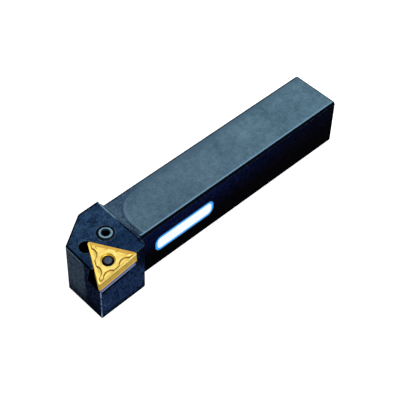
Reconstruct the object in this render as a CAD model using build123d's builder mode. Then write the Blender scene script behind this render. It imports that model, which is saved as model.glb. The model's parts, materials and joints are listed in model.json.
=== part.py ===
from build123d import *
from math import cos, isclose, pi, radians, sin, sqrt, tan
import os

# Right-hand turning tool holder with a lever-lock triangular insert. Millimetres.
# X runs from the rear end of the shank to the cutting point, Y from the locating side
# to the cutting side, and Z up from the base, so the origin is the rear datum corner.

os.makedirs("parts", exist_ok=True)

# Shank and the place of the cutting point
shank_width = 25.0
shank_height = 25.0
shank_chamfer = 1.0
tool_length = 150.0
nose_offset = 32.0

# Head: its plan outline, the ramp behind it and its sloping top, which rises above the cutting
# point by the most at one place along the tool and falls from there
head_rear = 123.0
head_rear_round = 2.0
head_cutback_start = 134.25
head_left_corner_x = 148.3
head_left_corner_y = 8.8
head_front_relief = 1.35
head_side_relief = 1.35
head_nose_chamfer = 0.35
head_top_chamfer = 0.35
ramp_wall = 123.5
ramp_radius = 4.6
ramp_side_start = 121.5
head_top_rise = 3.95
head_top_rise_x = 124.0
head_top_fall_forward = 1.3
head_top_fall_sideways = 4.0
blank_allowance = 1.0

# Insert: inscribed circle, thickness, hole and nose, and how it is tilted in its seat
insert_circle = 12.70
insert_thickness = 4.76
insert_hole = 5.16
insert_hole_chamfer = 0.6
nose_radius = 0.8
edge_lead = 1.25
back_rake = 6.0
side_rake = 5.0

# Chip breaker on both faces of the insert
land_width = 0.25
breaker_depth = 0.4
breaker_run = 0.9
plateau_inset = 1.35
plateau_wall_run = 0.5
scallop_radius = 3.58
scallop_from_middle = 4.35
scallop_depth = 2.9

# Shim under the insert and the slotted sleeve that holds it
shim_thickness = 3.18
shim_inset = 0.35
shim_edge_chamfer = 0.3
shim_hole_clearance = 0.1
sleeve_diameter = 7.76
sleeve_bore = 5.6
sleeve_slot = 1.2
sleeve_depth = 4.5
sleeve_below_shim_top = 0.3
sleeve_fit = 0.02
sleeve_chamfer = 0.25

# Pocket walls
wall_contact_height = 3.2
wall_relief = 0.3
wall_relief_corner = 0.6
end_wall_length = 14.1
corner_relief_radius = 3.1
corner_relief_forward = 2.25
corner_relief_out = 1.85
pocket_reach = 20.0
pocket_cut_height = 15.0

# Clamp screw: a fine thread with a hexagon socket in each end and a neck for the lever
screw_x = 131.75
screw_y = 14.7
screw_diameter = 8.0
screw_length = 21.0
screw_stand_out = 0.35
screw_end_diameter = 6.3
screw_end_chamfer = 0.85
screw_fit = 0.05
neck_diameter = 5.0
neck_below_nose = 14.4
neck_below = 1.5
neck_above = 1.95
collar_diameter = 7.4
screw_foot_chamfer = 0.5
hexagon = 3.0
hexagon_depth = 4.5
lower_hexagon_depth = 2.8
hexagon_mouth = 3.9
hexagon_mouth_depth = 0.45
screw_foot_clearance = 0.9
key_hole = 5.0

# Lever: a round pin that stands in the insert and a bar that reaches the screw's neck
pin_head_diameter = 4.5
pin_top_diameter = 3.7
pin_shank_diameter = 4.0
pin_top_taper = 0.9
pin_head_taper = 0.6
pin_below_insert_top = 0.4
pin_contact_clearance = 0.02
lever_elbow_depth = 15.8
lever_width = 4.0
lever_thickness = 3.8
toe_thickness = 2.4
toe_round = 0.6
toe_clearance = 0.15
heel_reach = 1.95
heel_clearance = 0.05
lever_bore = 7.2
lever_slot_width = 4.6
lever_slot_above = 4.2
lever_slot_below = 2.4

# Label on the cutting side of the shank
label_length = 34.7
label_height = 9.0
label_round = 3.6
label_thickness = 0.15
label_middle_x = 96.25
label_middle_z = 13.4

# Places worked out from the sizes above: the cutting point is level with the shank's top
nose_height = shank_height
lead = radians(edge_lead)
fall_back = tan(radians(back_rake))
fall_side = tan(radians(side_rake))
insert_inradius = insert_circle / 2
seat_up = Vector(fall_back, fall_side, 1).normalized()
edge_dir = Vector(-cos(lead), -sin(lead), fall_back * cos(lead) + fall_side * sin(lead))
nose_centre = Plane(
    origin=(
        tool_length - nose_radius,
        nose_offset - nose_radius,
        nose_height + nose_radius * (fall_back + fall_side),
    ),
    x_dir=edge_dir,
    z_dir=seat_up,
)
nose_to_middle = insert_inradius - nose_radius
insert_top = Plane(
    origin=nose_centre.from_local_coords((sqrt(3) * nose_to_middle, nose_to_middle)),
    x_dir=edge_dir,
    z_dir=seat_up,
)
insert_middle = insert_top.offset(-insert_thickness / 2)
shim_top = insert_top.offset(-insert_thickness)
seat_floor = shim_top.offset(-shim_thickness)

head_top_height = nose_height + head_top_rise
head_top = Plane(
    origin=(head_top_rise_x, 0, head_top_height),
    x_dir=(1, 0, -tan(radians(head_top_fall_forward))),
    z_dir=(tan(radians(head_top_fall_forward)), tan(radians(head_top_fall_sideways)), 1),
)
screw_top_height = (
    head_top_height
    - tan(radians(head_top_fall_forward)) * (screw_x - head_top_rise_x)
    - tan(radians(head_top_fall_sideways)) * screw_y
    + screw_stand_out
)
screw_foot = screw_top_height - screw_length
screw_bore_floor = screw_foot - screw_foot_clearance
neck_height = nose_height - neck_below_nose

# Lever geometry, in the plane that holds the insert's axis and the middle of the neck
neck_middle = Vector(screw_x, screw_y, neck_height)
to_neck = neck_middle - insert_top.origin
lever_out = (to_neck - seat_up * to_neck.dot(seat_up)).normalized()
pin_shift = (insert_hole - pin_head_diameter) / 2 - pin_contact_clearance
pin_top = insert_top.origin + lever_out * pin_shift
elbow = pin_top - seat_up * lever_elbow_depth
arm_dir = (neck_middle - elbow).normalized()
arm_length = (neck_middle - elbow).length
toe_reach = arm_length - neck_diameter / 2 - toe_clearance - toe_round
lever_side = Plane(origin=elbow, x_dir=arm_dir, z_dir=arm_dir.cross(seat_up))
lever_plan = Plane(origin=elbow, x_dir=arm_dir, z_dir=lever_side.y_dir)
pin_side = Plane(origin=pin_top, x_dir=lever_out, z_dir=lever_out.cross(seat_up))
heel = lever_side.from_local_coords((-heel_reach, 0))


def pocket_outline(relief):
    """Corners of the pocket, whose two walls stand back by relief from the insert's sides.

    The end wall runs 60 degrees to the cutting edge, and its thin end is cut off at 45 degrees.
    """
    corner = insert_circle + 2 * relief
    wall = end_wall_length + 2 * relief / (sin(pi / 3) + cos(pi / 3))
    wall_end = (-wall / 2, corner - wall * sqrt(3) / 2)
    outer_side = corner - pocket_reach * sqrt(3)
    return [
        (0, corner),
        wall_end,
        (wall_end[0] - pocket_reach, wall_end[1] + pocket_reach),
        (wall_end[0] - pocket_reach, outer_side),
        (pocket_reach, outer_side),
    ]


def draw_triangle(inradius):
    """An equilateral triangle round the insert's axis, with one side along the cutting edge."""
    return RegularPolygon(radius=inradius, side_count=3, major_radius=False, rotation=90)


# Holder body: shank and head in one piece of steel
side_face_at_rear = (
    nose_offset
    - head_side_relief
    - (tool_length - head_front_relief - head_rear) * tan(lead)
)
with BuildPart() as holder_body:
    with BuildSketch() as head_plan:
        with BuildLine():
            Polyline(
                (ramp_wall - ramp_radius, shank_chamfer),
                (ramp_side_start, shank_chamfer),
                (ramp_side_start, 0),
                (head_cutback_start, 0),
                (head_left_corner_x, head_left_corner_y),
                (tool_length - head_front_relief, nose_offset - head_side_relief),
                (head_rear, side_face_at_rear),
                (head_rear, shank_width),
                (ramp_side_start, shank_width),
                (ramp_side_start, shank_width - shank_chamfer),
                (ramp_wall - ramp_radius, shank_width - shank_chamfer),
                close=True,
            )
        make_face()
        rear_corner = head_plan.vertices().sort_by_distance((head_rear, side_face_at_rear, 0))[0]
        fillet(rear_corner, radius=head_rear_round)
        nose_corner = head_plan.vertices().sort_by_distance(
            (tool_length - head_front_relief, nose_offset - head_side_relief, 0)
        )[0]
        chamfer(nose_corner, length=head_nose_chamfer)
    extrude(amount=head_top_height + blank_allowance)
    # The concave ramp from the shank's top up to the head
    with BuildSketch(Plane.XZ) as ramp:
        with BuildLine():
            RadiusArc(
                (ramp_wall - ramp_radius, shank_height),
                (ramp_wall, shank_height + ramp_radius),
                -ramp_radius,
            )
            Polyline(
                (ramp_wall, shank_height + ramp_radius),
                (ramp_wall - 2 * ramp_radius, shank_height + ramp_radius),
                (ramp_wall - 2 * ramp_radius, shank_height),
                (ramp_wall - ramp_radius, shank_height),
            )
        make_face()
    extrude(amount=-shank_width, mode=Mode.SUBTRACT)
    split(bisect_by=head_top, keep=Keep.BOTTOM)
    # A small chamfer along the top of the cut-back and front faces
    front_edges = holder_body.faces().sort_by(Axis.Z)[-1].edges().sort_by(Axis.X)[-3:]
    chamfer(front_edges, length=head_top_chamfer)
    # The shank, with its four long edges and its rear end chamfered
    with BuildSketch(Plane.YZ) as shank_section:
        with Locations((shank_width / 2, shank_height / 2)):
            Rectangle(shank_width, shank_height)
        chamfer(shank_section.vertices(), length=shank_chamfer)
    extrude(amount=head_rear)
    chamfer(holder_body.faces().sort_by(Axis.X)[0].edges(), length=shank_chamfer)
    # The insert's pocket: a 60 degree corner whose walls are relieved round the upper edges
    with BuildSketch(seat_floor):
        with BuildLine():
            Polyline(*pocket_outline(0), close=True)
        make_face()
    extrude(amount=shim_thickness + wall_contact_height, mode=Mode.SUBTRACT)
    with BuildSketch(shim_top.offset(wall_contact_height)) as relieved:
        with BuildLine():
            Polyline(*pocket_outline(wall_relief), close=True)
        make_face()
        relieved_corner = relieved.vertices().sort_by_distance((0, insert_circle, 0))[0]
        fillet(relieved_corner, radius=wall_relief_corner)
    extrude(amount=pocket_cut_height, mode=Mode.SUBTRACT)
    with BuildSketch(seat_floor):
        with Locations((-corner_relief_forward, insert_circle - corner_relief_out)):
            Circle(corner_relief_radius)
    extrude(amount=pocket_cut_height, mode=Mode.SUBTRACT)
    # The stepped bore under the insert for the sleeve and the lever
    with BuildSketch(seat_floor):
        Circle(sleeve_diameter / 2 + sleeve_fit)
    extrude(amount=-sleeve_depth, mode=Mode.SUBTRACT)
    with BuildSketch(seat_floor):
        Circle(lever_bore / 2)
    extrude(
        amount=insert_thickness + shim_thickness - lever_elbow_depth - lever_thickness / 2,
        mode=Mode.SUBTRACT,
    )
    # The slot that lets the lever's bar reach the screw
    with BuildSketch(lever_side):
        with BuildLine():
            Polyline(
                (0, -lever_slot_below),
                (arm_length, -lever_slot_below),
                (arm_length, lever_slot_above),
                (0, lever_slot_above),
                close=True,
            )
        make_face()
    extrude(amount=lever_slot_width / 2, both=True, mode=Mode.SUBTRACT)
    # The clamp screw's bore and the key's way in from below
    with Locations((screw_x, screw_y, screw_bore_floor)):
        Cylinder(
            radius=screw_diameter / 2,
            height=shank_height,
            align=(Align.CENTER, Align.CENTER, Align.MIN),
            mode=Mode.SUBTRACT,
        )
    with Locations((screw_x, screw_y, 0)):
        Cylinder(
            radius=key_hole / 2,
            height=screw_bore_floor,
            align=(Align.CENTER, Align.CENTER, Align.MIN),
            mode=Mode.SUBTRACT,
        )
holder_body.part.label = "holder_body"
export_step(holder_body.part, "parts/holder_body.step")

# Chip breaker: a groove behind the cutting edge round a raised plateau, whose wall is scalloped
# by two cones on each edge, so that a ridge runs out to each corner
with BuildPart() as plateau:
    with BuildSketch():
        draw_triangle(insert_inradius - plateau_inset)
    with BuildSketch(Plane.XY.offset(-breaker_depth)):
        draw_triangle(insert_inradius - plateau_inset + plateau_wall_run)
    loft()
    with PolarLocations(0, 3):
        with Locations(
            (
                scallop_from_middle,
                scallop_depth - scallop_radius - insert_inradius,
                -breaker_depth / 2,
            ),
            (
                -scallop_from_middle,
                scallop_depth - scallop_radius - insert_inradius,
                -breaker_depth / 2,
            ),
        ):
            Cone(
                bottom_radius=scallop_radius - plateau_wall_run,
                top_radius=scallop_radius,
                height=breaker_depth,
                mode=Mode.SUBTRACT,
            )

with BuildPart() as breaker_groove:
    with BuildSketch() as land_outline:
        draw_triangle(insert_inradius - land_width)
        fillet(land_outline.vertices(), radius=nose_radius - land_width)
    with BuildSketch(Plane.XY.offset(-breaker_depth)) as groove_floor:
        draw_triangle(insert_inradius - land_width - breaker_run)
        fillet(groove_floor.vertices(), radius=(nose_radius - land_width) / 2)
    loft()
    add(plateau.part, mode=Mode.SUBTRACT)

# Insert: double-sided, so the breaker is on its top and, turned over, on its underside
with BuildPart() as insert_blank:
    with BuildSketch(Plane.XY.offset(-insert_thickness / 2)) as insert_outline:
        draw_triangle(insert_inradius)
        fillet(insert_outline.vertices(), radius=nose_radius)
    extrude(amount=insert_thickness)
    upper_groove = breaker_groove.part.moved(Location((0, 0, insert_thickness / 2)))
    add(upper_groove, mode=Mode.SUBTRACT)
    mirror(upper_groove, about=Plane.XY, mode=Mode.SUBTRACT)
    Cylinder(radius=insert_hole / 2, height=insert_thickness, mode=Mode.SUBTRACT)
    hole_rims = insert_blank.edges().filter_by(GeomType.CIRCLE).filter_by(
        lambda edge: isclose(edge.radius, insert_hole / 2, rel_tol=1e-3)
    )
    chamfer(hole_rims, length=insert_hole_chamfer)
with BuildPart(insert_middle) as insert:
    add(insert_blank.part)
insert.part.label = "insert"
export_step(insert.part, "parts/insert.step")

# Shim: a smaller triangle with a chamfered underside and a plain hole
with BuildPart() as shim:
    with BuildSketch(seat_floor) as shim_outline:
        draw_triangle(insert_inradius - shim_inset)
        fillet(shim_outline.vertices(), radius=nose_radius)
        Circle(sleeve_diameter / 2 + shim_hole_clearance, mode=Mode.SUBTRACT)
    extrude(amount=shim_thickness)
    underside = shim.faces().sort_by(Axis(seat_floor.origin, seat_floor.z_dir))[0]
    chamfer(underside.outer_wire().edges(), length=shim_edge_chamfer)
shim.part.label = "shim"
export_step(shim.part, "parts/shim.step")

# Sleeve: a slotted spring tube that stands on the ledge in the bore and locates the shim
sleeve_foot = seat_floor.offset(-sleeve_depth)
sleeve_length = sleeve_depth + shim_thickness - sleeve_below_shim_top
with BuildPart() as shim_sleeve:
    with BuildSketch(sleeve_foot):
        Circle(sleeve_diameter / 2)
        Circle(sleeve_bore / 2, mode=Mode.SUBTRACT)
    extrude(amount=sleeve_length)
    upper_face = shim_sleeve.faces().sort_by(Axis(sleeve_foot.origin, sleeve_foot.z_dir))[-1]
    chamfer(upper_face.outer_wire().edges(), length=sleeve_chamfer)
    with BuildSketch(sleeve_foot):
        with Locations((0, -sleeve_bore / 2)):
            Rectangle(sleeve_slot, sleeve_bore)
    extrude(amount=sleeve_length, mode=Mode.SUBTRACT)
shim_sleeve.part.label = "shim_sleeve"
export_step(shim_sleeve.part, "parts/shim_sleeve.step")

# Lever: bar and heel as one flat form, rounded in plan and in side view, with the pin on it
with BuildPart() as lever:
    with BuildSketch(lever_plan) as bar_plan:
        with BuildLine():
            Line((-heel_reach, lever_width / 2), (toe_reach, lever_width / 2))
            Line((toe_reach, lever_width / 2), (toe_reach, -lever_width / 2))
            Line((toe_reach, -lever_width / 2), (-heel_reach, -lever_width / 2))
            ThreePointArc(
                (-heel_reach, -lever_width / 2),
                (-heel_reach - lever_width / 2 + heel_clearance, 0),
                (-heel_reach, lever_width / 2),
            )
        make_face()
    extrude(amount=lever_thickness, both=True)
    with BuildSketch(lever_side) as bar_side:
        with BuildLine():
            ThreePointArc(
                (-heel_reach, -lever_thickness / 2),
                (-heel_reach - lever_thickness / 2, 0),
                (-heel_reach, lever_thickness / 2),
            )
            Line((-heel_reach, lever_thickness / 2), (0, lever_thickness / 2))
            Line((0, lever_thickness / 2), (toe_reach, toe_thickness / 2))
            ThreePointArc(
                (toe_reach, toe_thickness / 2),
                (toe_reach + toe_round, 0),
                (toe_reach, -toe_thickness / 2),
            )
            Line((toe_reach, -toe_thickness / 2), (0, -lever_thickness / 2))
            Line((0, -lever_thickness / 2), (-heel_reach, -lever_thickness / 2))
        make_face()
    extrude(amount=lever_width, both=True, mode=Mode.INTERSECT)
    with BuildSketch(pin_side) as pin_profile:
        with BuildLine():
            Polyline(
                (0, -pin_below_insert_top),
                (pin_top_diameter / 2, -pin_below_insert_top),
                (pin_head_diameter / 2, -pin_below_insert_top - pin_top_taper),
                (pin_head_diameter / 2, -insert_thickness + pin_head_taper),
                (pin_shank_diameter / 2, -insert_thickness - pin_head_taper),
                (pin_shank_diameter / 2, -lever_elbow_depth),
                (0, -lever_elbow_depth),
                close=True,
            )
        make_face()
    revolve(axis=Axis(pin_top, seat_up))
lever.part.label = "lever"
export_step(lever.part, "parts/lever.step")

# Clamp screw: threaded above the neck, with a collar below it and a key socket in each end
neck_top = neck_height + neck_above
neck_bottom = neck_height - neck_below
with BuildPart() as clamp_screw:
    with BuildSketch(Plane.XZ.offset(-screw_y)):
        with BuildLine():
            Polyline(
                (screw_x, screw_foot),
                (screw_x + collar_diameter / 2 - screw_foot_chamfer, screw_foot),
                (screw_x + collar_diameter / 2, screw_foot + screw_foot_chamfer),
                (screw_x + collar_diameter / 2, neck_bottom),
                (screw_x + neck_diameter / 2, neck_bottom),
                (screw_x + neck_diameter / 2, neck_top),
                (screw_x + screw_diameter / 2 - screw_fit, neck_top),
                (screw_x + screw_diameter / 2 - screw_fit, screw_top_height - screw_end_chamfer),
                (screw_x + screw_end_diameter / 2, screw_top_height),
                (screw_x, screw_top_height),
                close=True,
            )
        make_face()
    revolve(axis=Axis((screw_x, screw_y, 0), (0, 0, 1)))
    with BuildSketch(Plane((screw_x, screw_y, screw_top_height))):
        RegularPolygon(radius=hexagon / 2, side_count=6, major_radius=False)
    extrude(amount=-hexagon_depth, mode=Mode.SUBTRACT)
    with BuildSketch(Plane((screw_x, screw_y, screw_foot))):
        RegularPolygon(radius=hexagon / 2, side_count=6, major_radius=False)
    extrude(amount=lower_hexagon_depth, mode=Mode.SUBTRACT)
    with Locations((screw_x, screw_y, screw_top_height - hexagon_mouth_depth / 2)):
        Cone(
            bottom_radius=hexagon / 2,
            top_radius=hexagon_mouth / 2,
            height=hexagon_mouth_depth,
            mode=Mode.SUBTRACT,
        )
clamp_screw.part.label = "clamp_screw"
export_step(clamp_screw.part, "parts/clamp_screw.step")

# Label: a rounded plate stuck on the cutting side of the shank
with BuildPart() as side_label:
    with BuildSketch(Plane.XZ.offset(-shank_width)):
        with Locations((label_middle_x, label_middle_z)):
            RectangleRounded(label_length, label_height, label_round)
    extrude(amount=-label_thickness)
side_label.part.label = "side_label"
export_step(side_label.part, "parts/side_label.step")
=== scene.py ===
import json
from math import pi, radians, tan

import bmesh
import bpy
import numpy as np
from mathutils import Matrix, Vector

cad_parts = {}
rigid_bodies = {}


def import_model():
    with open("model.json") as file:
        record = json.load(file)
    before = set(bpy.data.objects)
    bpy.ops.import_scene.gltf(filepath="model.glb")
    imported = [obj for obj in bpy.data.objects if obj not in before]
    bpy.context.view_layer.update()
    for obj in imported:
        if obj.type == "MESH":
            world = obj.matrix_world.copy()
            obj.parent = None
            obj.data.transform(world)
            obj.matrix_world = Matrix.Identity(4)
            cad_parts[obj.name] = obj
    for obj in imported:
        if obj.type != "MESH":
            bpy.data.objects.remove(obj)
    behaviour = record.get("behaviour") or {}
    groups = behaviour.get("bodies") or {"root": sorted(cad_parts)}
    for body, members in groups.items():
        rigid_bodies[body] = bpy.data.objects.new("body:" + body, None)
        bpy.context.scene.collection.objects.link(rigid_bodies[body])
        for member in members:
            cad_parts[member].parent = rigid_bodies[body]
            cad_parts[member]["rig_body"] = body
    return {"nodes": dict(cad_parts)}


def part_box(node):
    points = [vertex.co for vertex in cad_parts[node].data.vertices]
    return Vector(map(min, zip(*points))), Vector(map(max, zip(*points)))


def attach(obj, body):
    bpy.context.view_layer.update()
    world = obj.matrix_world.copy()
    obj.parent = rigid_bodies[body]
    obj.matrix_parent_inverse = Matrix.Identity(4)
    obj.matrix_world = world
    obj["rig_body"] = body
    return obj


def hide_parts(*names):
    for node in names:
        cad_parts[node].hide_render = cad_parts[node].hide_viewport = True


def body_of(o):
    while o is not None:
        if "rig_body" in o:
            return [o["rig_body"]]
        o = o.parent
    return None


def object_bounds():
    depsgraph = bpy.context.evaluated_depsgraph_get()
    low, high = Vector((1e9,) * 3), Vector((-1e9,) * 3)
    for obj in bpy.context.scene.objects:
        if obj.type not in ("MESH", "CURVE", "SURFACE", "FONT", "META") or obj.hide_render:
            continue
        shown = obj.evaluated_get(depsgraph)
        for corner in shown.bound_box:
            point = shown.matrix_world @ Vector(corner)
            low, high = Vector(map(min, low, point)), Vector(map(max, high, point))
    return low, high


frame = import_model()
cad_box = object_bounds()

# ---------------------------------------------------------------------------------------------
# Holder body: shank and head milled from one bar of tool steel and burnished black. The shank's
# top is ground slate grey again, up to a cutter's arc before the head. The milled head keeps a
# navy bloom, and every outer edge is broken with a stone.
# ---------------------------------------------------------------------------------------------
BODY_EDGE_BREAK = 0.00012
EDGE_BREAK_SEGMENTS = 2
SMOOTH_ANGLE = radians(24)
FLAT_ANGLE = radians(0.05)
JOIN_DISTANCE = 1e-7


def finished_copy(node, name, edge_break, material):
    """A copy of a CAD piece with its loose triangles joined, flats dissolved and edges rounded."""
    source = frame["nodes"][node]
    mesh = source.data.copy()
    mesh.name = name
    shape = bmesh.new()
    shape.from_mesh(mesh)
    bmesh.ops.remove_doubles(shape, verts=shape.verts, dist=JOIN_DISTANCE)
    bmesh.ops.dissolve_limit(
        shape, angle_limit=FLAT_ANGLE, verts=shape.verts, edges=shape.edges
    )
    shape.to_mesh(mesh)
    shape.free()
    mesh.polygons.foreach_set("use_smooth", [True] * len(mesh.polygons))
    mesh.set_sharp_from_angle(angle=SMOOTH_ANGLE)
    mesh.materials.clear()
    mesh.materials.append(material)
    piece = bpy.data.objects.new(name, mesh)
    bpy.context.scene.collection.objects.link(piece)
    rounding = piece.modifiers.new("edge_break", "BEVEL")
    rounding.width = edge_break
    rounding.segments = EDGE_BREAK_SEGMENTS
    rounding.limit_method = "ANGLE"
    rounding.angle_limit = SMOOTH_ANGLE
    rounding.harden_normals = True
    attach(piece, body_of(source)[0])
    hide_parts(node)
    return piece


def rgb(red, green, blue):
    """The light that a screen colour, 0 to 255, stands for.

    With the level as a share of 255: the level plus 0.055, over 1.055, to the power of 2.4, or
    the level over 12.92 where it is 0.04045 or less.
    """
    levels = np.array([red, green, blue]) / 255.0
    light = np.where(levels > 0.04045, ((levels + 0.055) / 1.055) ** 2.4, levels / 12.92)
    return (*light.tolist(), 1.0)


class Wire:
    """A value that runs over a surface. Arithmetic on it places the Math node that works it out."""

    def __init__(self, socket):
        self.socket = socket
        self.tree = socket.id_data

    def math(self, operation, *others):
        """What a Math node makes of this value and the others."""
        node = self.tree.nodes.new("ShaderNodeMath")
        node.operation = operation
        for slot, value in zip(node.inputs, (self, *others)):
            plug(slot, value)
        return Wire(node.outputs[0])

    def __add__(self, other):
        return self.math("ADD", other)

    def __sub__(self, other):
        return self.math("SUBTRACT", other)

    def __mul__(self, other):
        return self.math("MULTIPLY", other)

    def __truediv__(self, other):
        return self.math("DIVIDE", other)

    def __abs__(self):
        return self.math("ABSOLUTE")

    def at_least(self, other):
        """The larger of the two."""
        return self.math("MAXIMUM", other)

    def at_most(self, other):
        """The smaller of the two."""
        return self.math("MINIMUM", other)

    def flip(self):
        """One minus the value."""
        node = place(self.tree, "ShaderNodeMath", {"operation": "SUBTRACT"})
        plug(node.inputs[0], 1.0)
        plug(node.inputs[1], self)
        return Wire(node.outputs[0])

    def ramp(self, low, high):
        """0 below low and 1 above high, with a smooth rise between."""
        node = place(
            self.tree, "ShaderNodeMapRange", {"interpolation_type": "SMOOTHSTEP"}, Value=self
        )
        plug(node.inputs["From Min"], low)
        plug(node.inputs["From Max"], high)
        return out(node, "Result")

    def fall(self, low, high):
        """1 below low and 0 above high, with a smooth fall between."""
        return self.ramp(low, high).flip()


def plug(slot, value):
    """Links a wire to a socket, or sets the socket's own value."""
    if isinstance(value, Wire):
        value.tree.links.new(value.socket, slot)
    else:
        slot.default_value = value


def place(tree, kind, settings=(), **inputs):
    """Adds a shader node, with its settings, and its inputs given by name."""
    node = tree.nodes.new(kind)
    for name, value in dict(settings).items():
        setattr(node, name, value)
    for name, value in inputs.items():
        plug(node.inputs[name.replace("_", " ")], value)
    return node


def out(node, name=0):
    """An output of a node as a wire, the first unless it is named."""
    return Wire(node.outputs[name])


# A mix node's sockets for numbers and for colours share their names, so they go by number.
MIX_FACTOR, MIX_FIRST, MIX_SECOND, MIX_RESULT = 0, 6, 7, 2


def blend(share, first, second):
    """The first colour, changing to the second as share goes from 0 to 1."""
    node = place(share.tree, "ShaderNodeMix", {"data_type": "RGBA"})
    plug(node.inputs[MIX_FACTOR], share)
    plug(node.inputs[MIX_FIRST], first)
    plug(node.inputs[MIX_SECOND], second)
    return out(node, MIX_RESULT)


def length_of(first, second):
    """The root of the sum of the two squares."""
    return (first * first + second * second).math("SQRT")


def effect_group(name, inputs, outputs):
    """An empty node group: inputs are (name, kind, value), outputs are (name, kind)."""
    tree = bpy.data.node_groups.new(name, "ShaderNodeTree")
    for label, kind, value in inputs:
        slot = tree.interface.new_socket(label, in_out="INPUT", socket_type=kind)
        if value is not None:
            slot.default_value = value
    for label, kind in outputs:
        tree.interface.new_socket(label, in_out="OUTPUT", socket_type=kind)
    return tree, tree.nodes.new("NodeGroupInput"), tree.nodes.new("NodeGroupOutput")


# Here and below, a pair of numbers is where a ramp begins and ends, and a pair of colours is the
# dark and the light tone of a finish.
EDGE_TURN = (0.003, 0.08)
EDGE_GAP_SCALE = 900.0
EDGE_GAPS = (0.34, 0.62)


def build_worn_edge_highlights():
    """Where an edge is worn and carries a painted highlight, with small gaps along it.

    The turn of an edge is one minus the cosine between the face and its rounded normal.
    """
    tree, given, result = effect_group(
        "worn_edge_highlights",
        [("Width", "NodeSocketFloat", 0.0003), ("Coords", "NodeSocketVector", None)],
        [("Mask", "NodeSocketFloat")],
    )
    rounded = place(tree, "ShaderNodeBevel", {"samples": 6}, Radius=out(given, "Width"))
    face = place(tree, "ShaderNodeNewGeometry")
    turn = place(tree, "ShaderNodeVectorMath", {"operation": "DOT_PRODUCT"})
    plug(turn.inputs[0], out(rounded, "Normal"))
    plug(turn.inputs[1], out(face, "Normal"))
    edge = out(turn, "Value").flip().ramp(*EDGE_TURN)
    breaks = place(
        tree,
        "ShaderNodeTexNoise",
        Vector=out(given, "Coords"),
        Scale=EDGE_GAP_SCALE,
        Detail=4.0,
    )
    plug(result.inputs["Mask"], edge * out(breaks).ramp(*EDGE_GAPS))
    return tree


NOISE_SPREAD = (0.30, 0.70)
NOISE_MIDDLE = 0.5
PIT_SCALE = 2300.0
PIT_LEVELS = (0.66, 0.76)
PIT_DEPTH = 0.5


def build_burnished_skin():
    """Cloudy oxide bloom, fine speckle and sparse pits, from three noises of falling size."""
    tree, given, result = effect_group(
        "burnished_skin",
        [
            ("Coords", "NodeSocketVector", None),
            ("Cloud Scale", "NodeSocketFloat", 160.0),
            ("Grain Scale", "NodeSocketFloat", 1500.0),
        ],
        [
            ("Cloud", "NodeSocketFloat"),
            ("Speckle", "NodeSocketFloat"),
            ("Pits", "NodeSocketFloat"),
            ("Height", "NodeSocketFloat"),
        ],
    )
    coords = out(given, "Coords")
    cloud = place(
        tree,
        "ShaderNodeTexNoise",
        Vector=coords,
        Scale=out(given, "Cloud Scale"),
        Detail=6.0,
        Roughness=0.62,
    )
    grain = place(
        tree,
        "ShaderNodeTexNoise",
        Vector=coords,
        Scale=out(given, "Grain Scale"),
        Detail=3.0,
        Roughness=0.7,
    )
    pits = place(tree, "ShaderNodeTexNoise", Vector=coords, Scale=PIT_SCALE, Detail=1.0)
    pit_mask = out(pits).ramp(*PIT_LEVELS)
    plug(result.inputs["Cloud"], out(cloud).ramp(*NOISE_SPREAD))
    plug(result.inputs["Speckle"], out(grain).ramp(*NOISE_SPREAD))
    plug(result.inputs["Pits"], pit_mask)
    plug(result.inputs["Height"], out(grain) - pit_mask * PIT_DEPTH)
    return tree


OPENNESS = (0.30, 0.92)


def build_crevice_shade():
    """How shut in a place is: 1 deep in a corner or beside another piece, 0 out in the open. It
    sets where painted shade goes.
    """
    tree, given, result = effect_group(
        "crevice_shade", [("Reach", "NodeSocketFloat", 0.002)], [("Mask", "NodeSocketFloat")]
    )
    openness = place(
        tree, "ShaderNodeAmbientOcclusion", {"samples": 8}, Distance=out(given, "Reach")
    )
    plug(result.inputs["Mask"], out(openness, "AO").fall(*OPENNESS))
    return tree


def build_tool_marks():
    """Fine parallel lines left by a wheel or cutter: noise stretched along one axis."""
    tree, given, result = effect_group(
        "tool_marks",
        [("Coords", "NodeSocketVector", None), ("Stretch", "NodeSocketVector", None)],
        [("Lines", "NodeSocketFloat")],
    )
    squeezed = place(tree, "ShaderNodeVectorMath", {"operation": "MULTIPLY"})
    plug(squeezed.inputs[0], out(given, "Coords"))
    plug(squeezed.inputs[1], out(given, "Stretch"))
    lines = place(
        tree,
        "ShaderNodeTexNoise",
        Vector=out(squeezed),
        Scale=1.0,
        Detail=3.0,
        Roughness=0.6,
    )
    plug(result.inputs["Lines"], out(lines))
    return tree


worn_edge_highlights = build_worn_edge_highlights()
burnished_skin = build_burnished_skin()
crevice_shade = build_crevice_shade()
tool_marks = build_tool_marks()


def new_finish(name):
    """An empty material: its tree, its Principled shader and its Object coordinates."""
    material = bpy.data.materials.new(name)
    material.use_nodes = True
    tree = material.node_tree
    shader = tree.nodes["Principled BSDF"]
    return material, tree, shader, out(place(tree, "ShaderNodeTexCoord"), "Object")


def use_effect(tree, group, **inputs):
    """Places a shared effect in a material, with this material's own values."""
    return place(tree, "ShaderNodeGroup", {"node_tree": group}, **inputs)


def finish_shader(shader, colour, roughness, height, strength, distance):
    """Gives a shader its colour and roughness, and a bump from a height that runs over it."""
    bump = place(
        shader.id_data, "ShaderNodeBump", Height=height, Strength=strength, Distance=distance
    )
    plug(shader.inputs["Base Color"], colour)
    plug(shader.inputs["Roughness"], roughness)
    plug(shader.inputs["Normal"], out(bump))


def axes_of(vector):
    """The X, Y and Z of a vector, as three wires."""
    split = place(vector.tree, "ShaderNodeSeparateXYZ", Vector=vector)
    return out(split, "X"), out(split, "Y"), out(split, "Z")


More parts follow.
